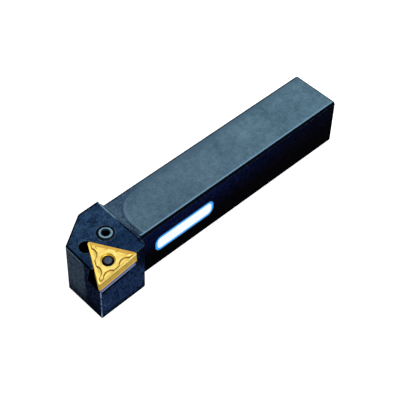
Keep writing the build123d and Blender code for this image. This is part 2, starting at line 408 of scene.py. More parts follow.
def along_normal(tree, direction):
    """How squarely the surface faces a direction, from -1 to 1."""
    facing = place(tree, "ShaderNodeNewGeometry")
    product = place(tree, "ShaderNodeVectorMath", {"operation": "DOT_PRODUCT"})
    plug(product.inputs[0], out(facing, "Normal"))
    plug(product.inputs[1], direction)
    return out(product, "Value")


def height_over(coords, point, direction):
    """How far a place lies from a plane through point, along the plane's direction."""
    offset = place(coords.tree, "ShaderNodeVectorMath", {"operation": "SUBTRACT"})
    plug(offset.inputs[0], coords)
    plug(offset.inputs[1], point)
    along = place(coords.tree, "ShaderNodeVectorMath", {"operation": "DOT_PRODUCT"})
    plug(along.inputs[0], out(offset))
    plug(along.inputs[1], direction)
    return out(along, "Value")


# The head's outer faces: a point on each, and the direction up from it or in from it.
HEAD_TOP_POINT = (0.124, 0.0, 0.02895)
HEAD_TOP_UP = (0.0226, 0.0697, 0.9973)
NOSE_CORNER_POINT = (0.14865, 0.03065, 0.0)
HEAD_SIDE_INWARD = (0.0218, -0.99976, 0.0)
FRONT_INWARD = (-0.99987, 0.016, 0.0)
CUTBACK_POINT = (0.13425, 0.0, 0.0)
CUTBACK_INWARD = (-0.531, 0.847, 0.0)
BURIED_X = (0.1262, 0.1265)
LEVEL_FACING = (0.60, 0.68)
CHAMFER_FACING_END = (0.80, 0.90)
RIM_FACING = (0.5, 0.6)
RIM_WIDTH = (0.0005, 0.0010)
BURIED_DEPTH = (0.0001, 0.0003)
SKIN_CLOUDS = 330.0
DRIFT_CLOUDS = 45.0
MOTTLE_CLOUDS = 720.0
CLOUD_SHARE = 0.40
DRIFT_SHARE = 0.45
MOTTLE_SHARES = (0.50, 0.20, 0.30)
MOTTLE_SPREAD = (0.05, 0.95)


class BodySurface:
    """What the body's finish follows: place, facing, noises, and the chamfers and rims.

    The drift is the broadest noise, and the mottle the finest. A place is buried where it lies
    inside every outer face of the head, as the walls of the pocket and the bores do.
    """

    def __init__(self, tree, coords):
        self.coords = coords
        self.x, self.y, self.z = axes_of(coords)
        self.nx = along_normal(tree, (1, 0, 0))
        self.ny = along_normal(tree, (0, 1, 0))
        self.nz = along_normal(tree, (0, 0, 1))
        skin = use_effect(tree, burnished_skin, Coords=coords, Cloud_Scale=SKIN_CLOUDS)
        broad = use_effect(tree, burnished_skin, Coords=coords, Cloud_Scale=DRIFT_CLOUDS)
        fine = use_effect(tree, burnished_skin, Coords=coords, Cloud_Scale=MOTTLE_CLOUDS)
        self.pits = out(skin, "Pits")
        self.height = out(skin, "Height")
        self.speckle = out(skin, "Speckle")
        self.cloud = out(skin, "Cloud") * CLOUD_SHARE + self.speckle * (1 - CLOUD_SHARE)
        self.drift = out(broad, "Cloud") * DRIFT_SHARE + self.cloud * (1 - DRIFT_SHARE)
        fine_share, cloud_share, speckle_share = MOTTLE_SHARES
        mottle = out(fine, "Cloud") * fine_share + out(skin, "Cloud") * cloud_share
        self.mottle = (mottle + self.speckle * speckle_share).ramp(*MOTTLE_SPREAD)

        self.level = abs(self.nz).ramp(*LEVEL_FACING)
        self.chamfer = self.level * abs(self.nz).fall(*CHAMFER_FACING_END)
        self.below_top = height_over(coords, HEAD_TOP_POINT, HEAD_TOP_UP) * -1.0
        in_from_cutback = height_over(coords, CUTBACK_POINT, CUTBACK_INWARD)
        in_from_front = height_over(coords, NOSE_CORNER_POINT, FRONT_INWARD)
        in_from_side = height_over(coords, NOSE_CORNER_POINT, HEAD_SIDE_INWARD)
        in_from_edge = in_from_cutback.at_most(in_from_front).at_most(self.y)
        self.head_rim = self.nz.ramp(*RIM_FACING) * in_from_edge.fall(*RIM_WIDTH)
        buried = in_from_edge.at_most(in_from_side).at_most(self.below_top).at_most(self.z)
        self.buried = buried.ramp(*BURIED_DEPTH) * self.x.ramp(*BURIED_X)


GROUND_ARC_CENTRE = (0.1059, 0.0160)
GROUND_ARC_RADIUS = 0.0129
GROUND_ARC_SOFTNESS = 0.0003
GROUND_ARC_WAVE = 0.0008
GROUND_ARC_X = (0.1010, 0.1075)
ARC_SHADE_WIDTH = 0.0024
ARC_SHADE_SHARE = 0.6
ARC_LIP = (-0.0014, -0.0004)
ARC_LIP_AHEAD = (0.004, 0.009)
ARC_LIP_SHARE = 0.25
NEAR_HEAD_X = (0.02, 0.095)
FAR_SHADE_Y = (0.0015, 0.0060)
FAR_SHADE_SHARE = 0.6
RAMP_NAVY_Y = (0.012, 0.020)
WALL_FOOT_X = (0.1199, 0.1206)
WALL_FOOT_Y = (0.017, 0.021)
WALL_FOOT_SHARE = 0.4
NEAR_EDGE_HIGHLIGHT_Y = (0.0231, 0.0234)
FAR_EDGE_WIDTH = (0.0010, 0.0016)
BACKWARD_FACING = (0.3, 0.6)
SIDE_NAVY_Z = (0.008, 0.024)
SIDE_NAVY_X = (0.0, 0.100)
SIDE_NAVY_AT_REAR = 0.25
SLATE = rgb(50, 74, 88), rgb(82, 106, 120)
SLATE_NEAR_HEAD = rgb(44, 66, 80), rgb(74, 94, 110)
FAR_SLATE = rgb(40, 58, 74)
RAMP_GREY = rgb(30, 48, 66), rgb(64, 84, 102)
RAMP_NAVY = rgb(14, 25, 42), rgb(52, 70, 90)
ARC_LIP_HIGHLIGHT = rgb(92, 116, 126)
WALL_FOOT_LIGHT = rgb(104, 130, 148)
NEAR_EDGE_HIGHLIGHT = rgb(86, 116, 136)
CHAMFER_SHADE = rgb(6, 8, 14)
FAR_EDGE_SHADE = rgb(10, 26, 38)
SIDE_BLACK = rgb(2, 2, 3), rgb(12, 12, 15)
SIDE_NAVY = rgb(3, 5, 16), rgb(16, 24, 60)


def shank_colour(at):
    """Slate on the ground top, grey and navy up the ramp past the arc, near black on the sides.

    The ground top ends in an arc. A place's distance from the arc's centre is the root of the
    sum of the squares of how far it lies ahead and how far aside, towards the far edge.
    """
    ahead = (at.x - GROUND_ARC_CENTRE[0]).at_least(0.0)
    aside = (at.y - GROUND_ARC_CENTRE[1]).at_most(0.0)
    from_centre = length_of(ahead, aside) + (at.cloud - NOISE_MIDDLE) * GROUND_ARC_WAVE
    past_arc = from_centre - GROUND_ARC_RADIUS
    unground = from_centre.ramp(
        GROUND_ARC_RADIUS - GROUND_ARC_SOFTNESS, GROUND_ARC_RADIUS + GROUND_ARC_SOFTNESS
    )
    unground = unground * at.x.ramp(*GROUND_ARC_X)

    slate = blend(at.drift, *SLATE)
    slate = blend(at.x.ramp(*NEAR_HEAD_X), slate, blend(at.drift, *SLATE_NEAR_HEAD))
    # Painted highlight on the ground top just inside the arc.
    arc_lip = past_arc.ramp(*ARC_LIP) * ahead.ramp(*ARC_LIP_AHEAD)
    slate = blend(arc_lip * ARC_LIP_SHARE, slate, ARC_LIP_HIGHLIGHT)
    slate = blend(at.y.fall(*FAR_SHADE_Y) * at.cloud * FAR_SHADE_SHARE, slate, FAR_SLATE)

    ramp_navy = blend(at.cloud, *RAMP_NAVY)
    ramp_colour = blend(at.y.ramp(*RAMP_NAVY_Y), blend(at.cloud, *RAMP_GREY), ramp_navy)
    arc_shade = past_arc.fall(0.0, ARC_SHADE_WIDTH)
    ramp_colour = blend(arc_shade * ARC_SHADE_SHARE, ramp_colour, ramp_navy)
    wall_foot = at.x.ramp(*WALL_FOOT_X) * at.y.fall(*WALL_FOOT_Y) * at.speckle
    ramp_colour = blend(wall_foot * WALL_FOOT_SHARE, ramp_colour, WALL_FOOT_LIGHT)

    top = blend(unground, slate, ramp_colour)
    # Painted highlight along the top's edge on the cutting side.
    top = blend(at.y.ramp(*NEAR_EDGE_HIGHLIGHT_Y), top, NEAR_EDGE_HIGHLIGHT)
    # Painted shade on the shank's chamfers.
    top = blend(at.chamfer, top, CHAMFER_SHADE)
    # Painted shade along the top's far side and rear end.
    top = blend(at.x.at_most(at.y).fall(*FAR_EDGE_WIDTH), top, FAR_EDGE_SHADE)

    from_rear = at.x.ramp(*SIDE_NAVY_X) * (1 - SIDE_NAVY_AT_REAR) + SIDE_NAVY_AT_REAR
    navy_share = at.z.ramp(*SIDE_NAVY_Z) * from_rear
    side = blend(navy_share, blend(at.mottle, *SIDE_BLACK), blend(at.mottle, *SIDE_NAVY))
    shank = blend(at.level, side, top)
    return blend((at.nx * -1.0).ramp(*BACKWARD_FACING) * unground, shank, ramp_colour)


NAVY_LINE_Y = 0.0204
NAVY_LINE_Z = 0.014
NAVY_LINE_SLANT = -0.05
NAVY_LINE_FADE = 0.3
NAVY_LINE_SHARPEST = 0.0002
FRONT_FOOT_Z = (0.0010, 0.0085)
FRONT_FOOT_SHARE = 0.6
FRONT_SLATE = rgb(34, 46, 56), rgb(76, 90, 102)
FRONT_NAVY = rgb(4, 8, 20), rgb(38, 48, 76)
FRONT_FOOT_SHADE = rgb(8, 12, 24)


def front_colour(at):
    """The front: slate, and navy past a slanted line under the seat, with painted shade at its
    foot.

    Below its start the line shifts by the slant times the depth, and softens by the fade times
    the depth, from its sharpest at the start.
    """
    below = (at.z - NAVY_LINE_Z).at_most(0.0) * -1.0
    past_line = at.y - NAVY_LINE_Y - below * NAVY_LINE_SLANT
    past_line = past_line / (below * NAVY_LINE_FADE + NAVY_LINE_SHARPEST)
    slate = blend(at.mottle, *FRONT_SLATE)
    front = blend(past_line.ramp(-1.0, 1.0), slate, blend(at.mottle, *FRONT_NAVY))
    # Painted shade at the front's foot.
    return blend(at.z.fall(*FRONT_FOOT_Z) * FRONT_FOOT_SHARE, front, FRONT_FOOT_SHADE)


BACK_RAKE = radians(6.0)
SIDE_RAKE = radians(5.0)
INSERT_TOP_POINT = (0.139814, 0.025464, 0.026642)
SEAT_DEPTH = 0.00794
seat_up = Vector((tan(BACK_RAKE), tan(SIDE_RAKE), 1.0)).normalized()
FLANK_FOOT_Z = (0.0005, 0.0040)
FLANK_FOOT_SHARE = 0.6
FLANK_REAR_X = (0.1255, 0.1300)
FLANK_REAR_Z = (0.012, 0.018)
FLANK_REAR_SHARE = 0.75
SEAT_SHADE_DEPTH = 0.004
SEAT_SHADE_SHARE = 0.5
SEAT_LINE = (-0.0020, -0.0013)
SEAT_LINE_X = (0.1325, 0.1335)
FLANK_NAVY = rgb(2, 8, 24), rgb(38, 57, 90)
FLANK_SHADE = rgb(3, 5, 13)
SEAT_SHADE = rgb(4, 8, 20)
SEAT_LINE_SHADOW = rgb(1, 1, 3)


def flank_colour(at):
    """The flank on the cutting side: navy, with painted shade at its foot, at its rear and by the
    seat, and a painted shadow line under the shim.
    """
    foot = at.z.fall(*FLANK_FOOT_Z) * FLANK_FOOT_SHARE
    rear = at.x.fall(*FLANK_REAR_X) * at.z.ramp(*FLANK_REAR_Z) * FLANK_REAR_SHARE
    flank = blend(foot.at_least(rear), blend(at.mottle, *FLANK_NAVY), FLANK_SHADE)
    over_seat = height_over(at.coords, INSERT_TOP_POINT, seat_up) + SEAT_DEPTH
    seat_shade = over_seat.ramp(-SEAT_SHADE_DEPTH, 0.0) * SEAT_SHADE_SHARE
    flank = blend(seat_shade, flank, SEAT_SHADE)
    # Painted shadow in a line under the shim.
    return blend(over_seat.ramp(*SEAT_LINE) * at.x.ramp(*SEAT_LINE_X), flank, SEAT_LINE_SHADOW)


CORNER_FACING = (0.5, 0.6)
NOSE_CORNER_Y = (0.0299, 0.0302)
NOSE_CORNER_MIDDLE_Z = 0.0095
NOSE_CORNER_ENDS = (0.003, 0.009)
NOSE_CORNER_SPECKLE = 0.5
CORNER_HIGHLIGHT_BLUE = rgb(12, 24, 46), rgb(150, 180, 216)
BEND_MARK_X = 0.1452
BEND_MARK_Z = 0.0078
BEND_MARK_RADIUS = 0.0017
BEND_MARK_WIDTH = 0.0006
BEND_MARK_FADE = (-0.0004, 0.0012)
BEND_MARK_SHARE = 0.6
BEND_MARK_BLUE = rgb(84, 108, 146)
FLANK_FACING = (0.8, 0.9)
LIP_START = (0.0005, 0.0008)
LIP_END = (0.0009, 0.0013)
LIP_FACING = (0.3, 0.4)
LIP_Y = (0.0185, 0.0195)
LIP_SPECKLE = 0.5
LIP_LEAST = 0.35
LIP_HIGHLIGHT = rgb(128, 156, 172)
WALL_RIM_WIDTH = (0.0004, 0.0009)
RIM_SHADE = rgb(2, 3, 7)
CUTBACK_FACING = (0.2, 0.3)
FRONT_FACING = (0.90, 0.97)
CUTBACK_BLUE = rgb(8, 17, 30), rgb(37, 52, 68)


def head_wall_colour(at):
    """Flank, cut-back and front, with lighter marks on them and a rim of painted shade at the foot.

    The nose corner carries a painted highlight in a streak that is brightest at both ends. A faint
    lighter U lies beside it: the lower half of a ring, with straight sides that fade upwards. A
    painted highlight runs under the head's top edge.
    """
    walls = blend(at.nx.ramp(*CUTBACK_FACING), flank_colour(at), blend(at.mottle, *CUTBACK_BLUE))
    walls = blend(at.nx.ramp(*FRONT_FACING), walls, front_colour(at))

    # Painted highlight down the nose corner.
    corner = at.nx.ramp(*CORNER_FACING) * at.ny.ramp(*CORNER_FACING) * at.y.ramp(*NOSE_CORNER_Y)
    towards_end = abs(at.z - NOSE_CORNER_MIDDLE_Z).ramp(*NOSE_CORNER_ENDS)
    corner_highlight = at.speckle * NOSE_CORNER_SPECKLE + towards_end * (1 - NOSE_CORNER_SPECKLE)
    walls = blend(corner, walls, blend(corner_highlight, *CORNER_HIGHLIGHT_BLUE))

    over_bend = at.z - BEND_MARK_Z
    bend = length_of(abs(at.x - BEND_MARK_X), over_bend.at_most(0.0)) - BEND_MARK_RADIUS
    bend = abs(bend).fall(0.0, BEND_MARK_WIDTH) * over_bend.fall(*BEND_MARK_FADE)
    bend = bend * at.ny.ramp(*FLANK_FACING) * at.speckle
    walls = blend(bend * BEND_MARK_SHARE, walls, BEND_MARK_BLUE)

    # Painted highlight under the head's top edge.
    lip = at.below_top.ramp(*LIP_START) * at.below_top.fall(*LIP_END)
    lip = lip * at.nx.ramp(*LIP_FACING) * at.y.fall(*LIP_Y)
    walls = blend(lip * (at.speckle * LIP_SPECKLE + LIP_LEAST), walls, LIP_HIGHLIGHT)
    # Painted shade along the walls' foot and far edge.
    return blend(at.z.at_most(at.y).fall(*WALL_RIM_WIDTH), walls, RIM_SHADE)


HEAD_TOP_FACING = (0.90, 0.97)
DEEP_NAVY_Y = (0.010, 0.022)
REAR_EDGE_X = (0.12365, 0.12425)
REAR_HIGHLIGHT_Y = (0.008, 0.014)
REAR_DARK_Y = (0.012, 0.015)
REAR_DARK_SPECKLE = (0.2, 0.6)
HEAD_NAVY = rgb(0, 6, 18), rgb(44, 70, 102)
DEEP_NAVY = rgb(0, 4, 14), rgb(30, 54, 86)
REAR_HIGHLIGHT_BLUE = rgb(60, 88, 104), rgb(108, 142, 158)
REAR_EDGE_SHADE = rgb(2, 3, 8)


def head_top_colour(at):
    """Navy bloom, deeper towards the insert, with a painted highlight on part of the rear edge and
    painted shade on the rest.
    """
    deep = blend(at.cloud, *DEEP_NAVY)
    navy = blend(at.y.ramp(*DEEP_NAVY_Y), blend(at.cloud, *HEAD_NAVY), deep)
    rear_edge = at.x.fall(*REAR_EDGE_X)
    brighter_part = rear_edge * at.y.fall(*REAR_HIGHLIGHT_Y)
    navy = blend(brighter_part, navy, blend(at.cloud, *REAR_HIGHLIGHT_BLUE))
    black = rear_edge * at.y.ramp(*REAR_DARK_Y) * at.speckle.ramp(*REAR_DARK_SPECKLE)
    return blend(black, navy, REAR_EDGE_SHADE)


HEAD_REAR_X = (0.1225, 0.1229)
BODY_WEAR_HIGHLIGHT_WIDTH = 0.0003
BODY_WEAR_HIGHLIGHT_SHARE = 0.7
BODY_PIT_SHARE = 0.4
POCKET_FRONT_FACING = (0.8, 0.9)
POCKET_FRONT_Y = (0.018, 0.019)
BODY_CREVICE = 0.0025
BURIED_SHADE = rgb(2, 3, 6)
WORN_HIGHLIGHT_BLUE = rgb(110, 140, 164)
PIT_BLACK = rgb(8, 10, 16)
CREVICE_SHADE_BLACK = rgb(1, 1, 3)
ALONG_SHANK = (60.0, 5200.0, 5200.0)
BODY_GRAIN_SHARE = 0.6


def build_black_oxide():
    """Slate where the shank's top is ground, near black on its sides, navy on the head.

    Edges carry wear and a painted highlight, except on chamfers, rims, buried walls and the front
    beside the pocket. Chamfers, rims, buried walls and crevices carry painted shade.
    """
    material, tree, shader, coords = new_finish("burnished_tool_steel")
    at = BodySurface(tree, coords)
    head = blend(at.nz.ramp(*HEAD_TOP_FACING), head_wall_colour(at), head_top_colour(at))
    # Painted shade along the head top's outer edges.
    head = blend(at.head_rim, head, RIM_SHADE)
    # Painted shade on the pocket's walls and in the bores.
    head = blend(at.buried, head, BURIED_SHADE)
    colour = blend(at.x.ramp(*HEAD_REAR_X), shank_colour(at), head)

    # Edge wear with a painted highlight along the outer edges.
    edges = use_effect(tree, worn_edge_highlights, Width=BODY_WEAR_HIGHLIGHT_WIDTH, Coords=coords)
    pocket_front = at.nx.ramp(*POCKET_FRONT_FACING) * at.y.ramp(*POCKET_FRONT_Y)
    without_edge_marks = at.head_rim + at.chamfer + at.buried + pocket_front
    wear_and_highlight = out(edges, "Mask") * without_edge_marks.flip().at_least(0.0)
    colour = blend(wear_and_highlight * BODY_WEAR_HIGHLIGHT_SHARE, colour, WORN_HIGHLIGHT_BLUE)
    colour = blend(at.pits * BODY_PIT_SHARE, colour, PIT_BLACK)
    # Painted shade in corners, bores and beside the other pieces.
    shut_in = use_effect(tree, crevice_shade, Reach=BODY_CREVICE)
    colour = blend(out(shut_in, "Mask"), colour, CREVICE_SHADE_BLACK)

    lines = out(use_effect(tree, tool_marks, Coords=coords, Stretch=ALONG_SHANK), "Lines")
    roughness = at.cloud * -0.10 + 0.52 + (lines - NOISE_MIDDLE) * 0.12
    height = at.height * BODY_GRAIN_SHARE + lines * (1 - BODY_GRAIN_SHARE)
    finish_shader(shader, colour, roughness, height, strength=0.22, distance=0.00004)
    shader.inputs["Metallic"].default_value = 0.3
    shader.inputs["Specular IOR Level"].default_value = 0.0
    shader.inputs["Specular Tint"].default_value = (0.15, 0.2, 0.3, 1.0)
    return material


holder_body = finished_copy(
    "holder_body", "holder_body_finished", BODY_EDGE_BREAK, build_black_oxide()
)

# ---------------------------------------------------------------------------------------------
# Insert: pressed and sintered carbide, ground round its sides and coated gold. The coating is
# paler on the ground land, with painted shade down in the chip breaker's hollows, on its walls and
# on slopes turned from the light. The lever's pin holds the insert by its hole.
# ---------------------------------------------------------------------------------------------
INSERT_EDGE_BREAK = 0.00004


def distance_from(coords, point):
    """How far a place lies from a point."""
    offset = place(coords.tree, "ShaderNodeVectorMath", {"operation": "DISTANCE"})
    plug(offset.inputs[0], coords)
    plug(offset.inputs[1], point)
    return out(offset, "Value")


UPPER_BAND = (-0.0012, -0.0006)
UPPER_BAND_SHARE = 0.75
LOWER_BAND = (-0.0039, -0.0033)
LOWER_BAND_SHARE = 0.9
SIDE_GOLD = rgb(130, 106, 8), rgb(174, 148, 42)
UPPER_BROWN = rgb(140, 98, 14)
LOWER_ORANGE = rgb(198, 144, 0)


def gold_side(depth, cloud):
    """Olive gold round the sides, browner under the top edge and orange by the lower one."""
    side = blend(cloud, *SIDE_GOLD)
    side = blend(depth.ramp(*UPPER_BAND) * UPPER_BAND_SHARE, side, UPPER_BROWN)
    return blend(depth.fall(*LOWER_BAND) * LOWER_BAND_SHARE, side, LOWER_ORANGE)


HOLE_MOUTH = (0.0034, 0.0036)
OUTER_MOUTH = (0.00285, 0.00295)
MOUTH_TURN = (-0.4, 0.4)
MOUTH_GOLD = rgb(228, 180, 52)
OUTER_MOUTH_BROWN = rgb(168, 118, 12)
MOUTH_HIGHLIGHT = rgb(250, 224, 130)
WALL_TURN = (-0.6, 0.45)
WALL_GOLD_LIT_AND_SHADED = rgb(214, 176, 84), rgb(122, 78, 14)


def gold_wall(coords, away_from_light):
    """The chip breaker's walls and the hole's mouth, with painted shade where they face away from
    the key lamp and a painted highlight on the mouth where it faces it.
    """
    from_axis = distance_from(coords, INSERT_TOP_POINT)
    mouth = blend(from_axis.ramp(*OUTER_MOUTH), MOUTH_GOLD, OUTER_MOUTH_BROWN)
    mouth = blend(away_from_light.ramp(*MOUTH_TURN), MOUTH_HIGHLIGHT, mouth)
    return blend(from_axis.fall(*HOLE_MOUTH), blend(away_from_light.ramp(*WALL_TURN), *WALL_GOLD_LIT_AND_SHADED), mouth)


# The side that faces away from the key lamp; faces turned to it get painted shade.
AWAY_FROM_KEY_LAMP = (0.64, 0.77, 0.0)
REAR_SIDE_OUT = (-0.8572, -0.5150, 0.0)
FRONT_SIDE_OUT = (0.8746, -0.4848, 0.0)
TOP_FACING = (0.35, 0.75)
TOP_GOLD = rgb(200, 172, 76), rgb(242, 222, 132)
STEEP_FACING = (0.60, 0.68)
STEEP_FACING_END = (0.84, 0.88)
STEEP_DEPTH = (-0.0008, -0.0006)
SLOPE_FACING = (0.86, 0.89)
SLOPE_FACING_END = (0.965, 0.98)
SLOPE_TURN = (0.10, 0.32)
SLOPE_SHARE = 0.5
SLOPE_SHADE_ORANGE = rgb(208, 146, 30)
LAND_FACING = (0.90, 0.97)
LAND_INSIDE = (0.00585, 0.00600)
LAND_SHARE = 0.9
REAR_LAND_ORANGE = rgb(220, 154, 18)
FRONT_LAND_GOLD = rgb(208, 164, 56)
FRONT_SLOPE_INSIDE = (0.0048, 0.0051)
FRONT_SLOPE_SHARE = 0.6
FRONT_SLOPE_GOLD = rgb(204, 174, 80)
BREAKER_DEPTH = 0.0004
HOLLOW_DEPTH = (-1.02, -0.6)
HOLLOW_FACING = (0.5, 0.9)
HOLLOW_SHARE = 0.3
HOLLOW_SHADE_GOLD = rgb(214, 168, 62)
GOLD_WEAR_HIGHLIGHT_WIDTH = 0.00018
GOLD_WEAR_HIGHLIGHT_SHARE = 0.3
GOLD_CREVICE = 0.0012
GOLD_CREVICE_SHARE = 0.9
GOLD_CLOUD_SHARE = 0.6
GOLD_GRAIN_SHARE = 0.5
EDGE_GOLD = rgb(255, 232, 140)
CREVICE_SHADE_BROWN = rgb(70, 36, 4)
ROUND_THE_SIDES = (300.0, 300.0, 9000.0)


def build_gold_coating():
    """Gold over carbide: paler lands, painted shade on walls, slopes, hollows and crevices, edge
    wear with a painted highlight, orange by the lower edge.
    """
    material, tree, shader, coords = new_finish("gold_coated_carbide")
    depth = height_over(coords, INSERT_TOP_POINT, seat_up)
    level = abs(along_normal(tree, seat_up))
    away_from_light = along_normal(tree, AWAY_FROM_KEY_LAMP)
    rear_out = height_over(coords, INSERT_TOP_POINT, REAR_SIDE_OUT)
    front_out = height_over(coords, INSERT_TOP_POINT, FRONT_SIDE_OUT)
    skin = use_effect(tree, burnished_skin, Coords=coords, Cloud_Scale=520.0, Grain_Scale=2600.0)
    cloud = out(skin, "Cloud") * GOLD_CLOUD_SHARE + out(skin, "Speckle") * (1 - GOLD_CLOUD_SHARE)

    gold = blend(level.ramp(*TOP_FACING), gold_side(depth, cloud), blend(cloud, *TOP_GOLD))
    steep = level.ramp(*STEEP_FACING) * level.fall(*STEEP_FACING_END) * depth.ramp(*STEEP_DEPTH)
    gold = blend(steep, gold, gold_wall(coords, away_from_light))
    slope = level.ramp(*SLOPE_FACING) * level.fall(*SLOPE_FACING_END)
    # Painted shade on the groove slopes turned from the light.
    gold = blend(slope * away_from_light.ramp(*SLOPE_TURN) * SLOPE_SHARE, gold, SLOPE_SHADE_ORANGE)
    land = level.ramp(*LAND_FACING)
    gold = blend(land * rear_out.ramp(*LAND_INSIDE) * LAND_SHARE, gold, REAR_LAND_ORANGE)
    gold = blend(land * front_out.ramp(*LAND_INSIDE) * LAND_SHARE, gold, FRONT_LAND_GOLD)
    front_slope = slope * front_out.ramp(*FRONT_SLOPE_INSIDE)
    gold = blend(front_slope * FRONT_SLOPE_SHARE, gold, FRONT_SLOPE_GOLD)
    # Painted shade down in the chip breaker.
    hollow = (depth / BREAKER_DEPTH).fall(*HOLLOW_DEPTH) * level.ramp(*HOLLOW_FACING)
    gold = blend(hollow * HOLLOW_SHARE, gold, HOLLOW_SHADE_GOLD)
    # Edge wear with a painted highlight on the insert's edges.
    edges = use_effect(tree, worn_edge_highlights, Width=GOLD_WEAR_HIGHLIGHT_WIDTH, Coords=coords)
    gold = blend(out(edges, "Mask") * GOLD_WEAR_HIGHLIGHT_SHARE, gold, EDGE_GOLD)
    # Painted shade in the hole and beside the body and shim.
    shut_in = use_effect(tree, crevice_shade, Reach=GOLD_CREVICE)
    gold = blend(out(shut_in, "Mask") * GOLD_CREVICE_SHARE, gold, CREVICE_SHADE_BROWN)

    lines = out(use_effect(tree, tool_marks, Coords=coords, Stretch=ROUND_THE_SIDES), "Lines")
    roughness = cloud * 0.08 + 0.34 + (lines - NOISE_MIDDLE) * 0.1
    height = out(skin, "Height") * GOLD_GRAIN_SHARE + lines * (1 - GOLD_GRAIN_SHARE)
    finish_shader(shader, gold, roughness, height, strength=0.25, distance=0.00002)
    shader.inputs["Metallic"].default_value = 0.4
    shader.inputs["Specular IOR Level"].default_value = 0.3
    shader.inputs["Specular Tint"].default_value = (1.0, 0.8, 0.3, 1.0)
    return material


insert = finished_copy("insert", "insert_coated", INSERT_EDGE_BREAK, build_gold_coating())

# ---------------------------------------------------------------------------------------------
# Shim: a triangular plate of bare carbide, ground on both faces, that carries the insert in the
# pocket. The spring sleeve in its hole holds it to the body.
# ---------------------------------------------------------------------------------------------
SHIM_EDGE_BREAK = 0.00005
SHIM_LOWER_BAND = (-0.0068, -0.0062)
SHIM_LOWER_SHARE = 0.8
SHIM_WEAR_HIGHLIGHT_WIDTH = 0.0002
SHIM_WEAR_HIGHLIGHT_SHARE = 0.5
CARBIDE_BLUE = rgb(0, 42, 124), rgb(14, 62, 146)
CARBIDE_PALE = rgb(104, 126, 148)
CARBIDE_EDGE = rgb(196, 208, 230)
ROUND_THE_SHIM = (300.0, 300.0, 8000.0)


def build_bare_carbide():
    """Blue ground carbide with fine lines, paler by its lower edge, with edge wear and a painted
    highlight.
    """
    material, tree, shader, coords = new_finish("bare_carbide")
    skin = use_effect(tree, burnished_skin, Coords=coords, Cloud_Scale=300.0, Grain_Scale=6000.0)
    depth = height_over(coords, INSERT_TOP_POINT, seat_up)
    carbide = blend(out(skin, "Cloud"), *CARBIDE_BLUE)
    carbide = blend(depth.fall(*SHIM_LOWER_BAND) * SHIM_LOWER_SHARE, carbide, CARBIDE_PALE)
    # Edge wear with a painted highlight on the shim's edges.
    edges = use_effect(tree, worn_edge_highlights, Width=SHIM_WEAR_HIGHLIGHT_WIDTH, Coords=coords)
    carbide = blend(out(edges, "Mask") * SHIM_WEAR_HIGHLIGHT_SHARE, carbide, CARBIDE_EDGE)
    lines = out(use_effect(tree, tool_marks, Coords=coords, Stretch=ROUND_THE_SHIM), "Lines")
    height = out(skin, "Height")
    finish_shader(shader, carbide, lines * 0.2 + 0.26, height, strength=0.15, distance=0.00002)
    shader.inputs["Metallic"].default_value = 0.1
    shader.inputs["Specular IOR Level"].default_value = 0.1
    shader.inputs["Specular Tint"].default_value = (0.4, 0.6, 1.0, 1.0)
    return material


shim = finished_copy("shim", "shim_ground", SHIM_EDGE_BREAK, build_bare_carbide())

# ---------------------------------------------------------------------------------------------
# Sleeve and lever: the slotted spring sleeve under the insert, and the forged lever whose pin
# stands in the insert's hole. Both are hardened and left dull from heat treatment.
# ---------------------------------------------------------------------------------------------
SMALL_PART_EDGE_BREAK = 0.00008
PIN_MIDDLE_RADIUS = (0.00135, 0.00175)
PIN_MIDDLE_WAVE = 0.0005
PIN_END_FACING = (0.95, 0.99)
PIN_RIM_DEPTH = (-0.0026, -0.0022)
PIN_RIM_SHARE = 0.9
SCALE_WEAR_HIGHLIGHT_WIDTH = 0.00025
SCALE_WEAR_HIGHLIGHT_SHARE = 0.5
PIN_RIM_SHADE = rgb(6, 7, 10)
WORN_HIGHLIGHT_SCALE = rgb(150, 172, 192)
SLEEVE_SCALE = rgb(38, 42, 50), rgb(56, 62, 72)
LEVER_SCALE = rgb(26, 36, 50), rgb(60, 74, 94)


def build_heat_treated(name, dark, light, roughness):
    """Dull scale from the furnace, with edge wear and a painted highlight on the edges.

    Outside the middle of the pin's end, the pin's upper part carries painted black shade, which is
    left out of the edge highlight.
    """
    material, tree, shader, coords = new_finish(name)
    skin = use_effect(tree, burnished_skin, Coords=coords, Cloud_Scale=500.0, Grain_Scale=2600.0)
    cloud = out(skin, "Cloud")
    depth = height_over(coords, INSERT_TOP_POINT, seat_up)
    wave = (out(skin, "Speckle") - NOISE_MIDDLE) * PIN_MIDDLE_WAVE
    brighter_part = (distance_from(coords, INSERT_TOP_POINT) + wave).fall(*PIN_MIDDLE_RADIUS)
    pin_end = along_normal(tree, seat_up).ramp(*PIN_END_FACING)
    rim = depth.ramp(*PIN_RIM_DEPTH) * (brighter_part * pin_end).flip()
    # Painted shade on the pin's shoulders round the middle of its end.
    scale = blend(rim * PIN_RIM_SHARE, blend(cloud, dark, light), PIN_RIM_SHADE)
    # Edge wear with a painted highlight.
    edges = use_effect(tree, worn_edge_highlights, Width=SCALE_WEAR_HIGHLIGHT_WIDTH, Coords=coords)
    scale = blend(out(edges, "Mask") * rim.flip() * SCALE_WEAR_HIGHLIGHT_SHARE, scale, WORN_HIGHLIGHT_SCALE)
    height = out(skin, "Height")
    finish_shader(shader, scale, cloud * 0.12 + roughness, height, strength=0.3, distance=0.00003)
    shader.inputs["Metallic"].default_value = 0.7
    return material


shim_sleeve = finished_copy(
    "shim_sleeve",
    "shim_sleeve_hardened",
    SMALL_PART_EDGE_BREAK,
    build_heat_treated("spring_steel", *SLEEVE_SCALE, roughness=0.4),
)
lever = finished_copy(
    "lever",
    "lever_forged",
    SMALL_PART_EDGE_BREAK,
    build_heat_treated("lever_steel", *LEVER_SCALE, roughness=0.42),
)

